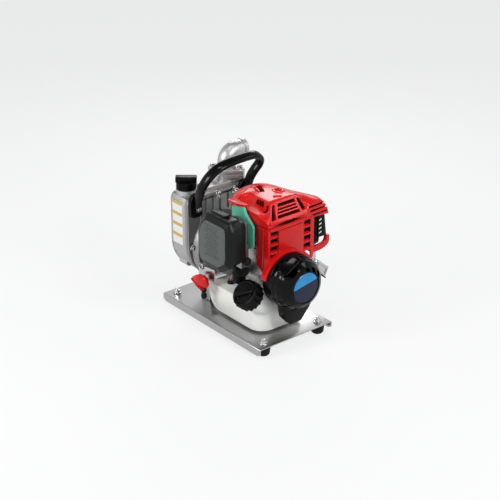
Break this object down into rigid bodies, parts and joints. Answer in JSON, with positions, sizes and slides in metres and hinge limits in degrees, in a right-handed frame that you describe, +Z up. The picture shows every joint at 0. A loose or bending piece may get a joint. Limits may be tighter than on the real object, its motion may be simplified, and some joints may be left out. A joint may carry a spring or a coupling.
{
  "type": "portable fire pump",
  "caption": "Portable self-priming fire pump: a small four-stroke engine with recoil starter and fuel tank drives a cast pump on a sheet base with rubber feet and a carrying handle.",
  "frame": {"origin": "on the floor, under the middle of the pump's outer box", "axes": "+Z up; -Y towards the recoil starter; +Y towards the suction port; +X towards the muffler and the discharge port; -X towards the air cleaner"},
  "size_m": [0.22, 0.325, 0.3001],
  "materials": {
    "base_sheet": "bright rolled sheet with fine drawn lines",
    "cast_alloy": "sand cast and machined on its joint faces",
    "dark_casting": "dark die casting",
    "machined_steel": "turned",
    "zinc_fastener": "zinc plated",
    "brass": "machined",
    "red_cover": "moulded gloss",
    "gloss_black": "moulded gloss",
    "black_plastic": "moulded satin",
    "handle_black": "smooth satin",
    "rubber": "moulded",
    "muffler_black": "heat resistant paint",
    "air_cleaner_grey": "fine moulded grain",
    "air_cleaner_panel": "lighter raised panel",
    "insulator_green": "moulded",
    "tank_plastic": "translucent blow moulded",
    "hose_grey": "smooth",
    "foam": "open cell",
    "badge_blue": "two-tone film",
    "label_film": "plain striped film"
  },
  "bodies": {
    "pump_body": {"base_plate": "base_sheet", "foot_front_left": "rubber", "foot_front_right": "rubber", "foot_back_left": "rubber", "foot_back_right": "rubber", "foot_nut_front_left": "zinc_fastener", "foot_nut_front_right": "zinc_fastener", "foot_nut_back_left": "zinc_fastener", "foot_nut_back_right": "zinc_fastener", "crankcase": "cast_alloy", "cylinder": "cast_alloy", "valve_cover": "black_plastic", "piston": "cast_alloy", "piston_pin": "machined_steel", "connecting_rod": "cast_alloy", "spark_plug": "machined_steel", "plug_cap": "rubber", "fan_housing": "cast_alloy", "starter_case": "gloss_black", "starter_badge": "badge_blue", "fan_cover": "red_cover", "top_cover": "red_cover", "muffler": "muffler_black", "muffler_screen": "muffler_black", "muffler_guard": "red_cover", "heat_deflector": "base_sheet", "insulator": "insulator_green", "carburettor": "dark_casting", "air_cleaner_case": "air_cleaner_grey", "air_cleaner_cover": "air_cleaner_grey", "filter_element": "foam", "fuel_tank": "tank_plastic", "fuel_hose": "hose_grey", "pump_cover": "cast_alloy", "pump_casing": "cast_alloy", "volute": "dark_casting", "shaft_seal": "rubber", "suction_port": "cast_alloy", "discharge_elbow": "cast_alloy", "elbow_bolt_1": "zinc_fastener", "elbow_bolt_2": "zinc_fastener", "handle": "handle_black", "handle_bolt_1": "zinc_fastener", "handle_bolt_2": "zinc_fastener", "control_bracket": "base_sheet"},
    "rotor": {"crankshaft": "machined_steel", "flywheel": "cast_alloy", "impeller": "cast_alloy"},
    "grip": {"starter_grip": "gloss_black"},
    "reel": {"starter_reel": "black_plastic"},
    "throttle": {"control_lever": "red_cover"},
    "choke": {"choke_lever": "black_plastic"},
    "primer": {"primer_bulb": "rubber"},
    "fuel_gasket": {"fuel_cap_gasket": "rubber"},
    "fuel_lid": {"fuel_cap": "black_plastic"},
    "priming_gasket": {"priming_cap_gasket": "rubber"},
    "priming_lid": {"priming_cap": "black_plastic"},
    "flap": {"check_valve": "rubber"},
    "drain": {"drain_plug": "brass"},
    "oil_lid": {"oil_cap": "black_plastic"}
  },
  "joints": [
    {"name": "rotor_spin", "type": "hinge", "parent": "pump_body", "child": "rotor", "pos_m": [0, 0, 0.122], "axis": [0, 1, 0], "continuous": true},
    {"name": "grip_pull", "type": "slide", "parent": "pump_body", "child": "grip", "axis": [-0.4469, -0.4469, 0.7749], "range_m": [0, 0.45], "stiffness_N_per_m": 40, "springref_m": -0.1},
    {"name": "reel_turn", "type": "hinge", "parent": "pump_body", "child": "reel", "pos_m": [0, -0.1345, 0.122], "axis": [0, 1, 0], "range_deg": [0, 1180]},
    {"name": "throttle_turn", "type": "hinge", "parent": "pump_body", "child": "throttle", "pos_m": [-0.07, 0.038, 0.084], "axis": [1, 0, 0], "range_deg": [0, 45]},
    {"name": "choke_turn", "type": "hinge", "parent": "pump_body", "child": "choke", "pos_m": [-0.086, 0.001, 0.176], "axis": [0, 1, 0], "range_deg": [0, 55]},
    {"name": "primer_press", "type": "slide", "parent": "pump_body", "child": "primer", "axis": [0, 1, 0], "range_m": [0, 0.004], "stiffness_N_per_m": 300, "springref_m": -0.002},
    {"name": "fuel_cap_lift", "type": "slide", "parent": "pump_body", "child": "fuel_gasket", "axis": [-0.7659, 0, 0.6429], "range_m": [0, 0.018]},
    {"name": "fuel_cap_turn", "type": "hinge", "parent": "fuel_gasket", "child": "fuel_lid", "pos_m": [-0.054, -0.082, 0.0905], "axis": [-0.7659, 0, 0.6429], "range_deg": [0, 720]},
    {"name": "priming_cap_lift", "type": "slide", "parent": "pump_body", "child": "priming_gasket", "axis": [0, 0, 1], "range_m": [0, 0.009]},
    {"name": "priming_cap_turn", "type": "hinge", "parent": "priming_gasket", "child": "priming_lid", "pos_m": [-0.05, 0.105, 0.238], "axis": [0, 0, 1], "range_deg": [0, 720]},
    {"name": "check_valve_swing", "type": "hinge", "parent": "pump_body", "child": "flap", "pos_m": [0, 0.14235, 0.1575], "axis": [-1, 0, 0], "range_deg": [0, 35]},
    {"name": "drain_plug_turn", "type": "hinge", "parent": "pump_body", "child": "drain", "pos_m": [-0.02, 0.098, 0.053], "axis": [0, 0, 1], "range_deg": [0, 720]},
    {"name": "oil_cap_turn", "type": "hinge", "parent": "pump_body", "child": "oil_lid", "pos_m": [0.035, 0.008, 0.124], "axis": [1, 0, 0], "range_deg": [0, 720]}
  ],
  "couplings": [
    {"joint": "reel_turn", "follows": "grip_pull", "rad_per_m": 45.455},
    {"joint": "fuel_cap_turn", "follows": "fuel_cap_lift", "rad_per_m": 698.13},
    {"joint": "priming_cap_turn", "follows": "priming_cap_lift", "rad_per_m": 1396.3}
  ]
}
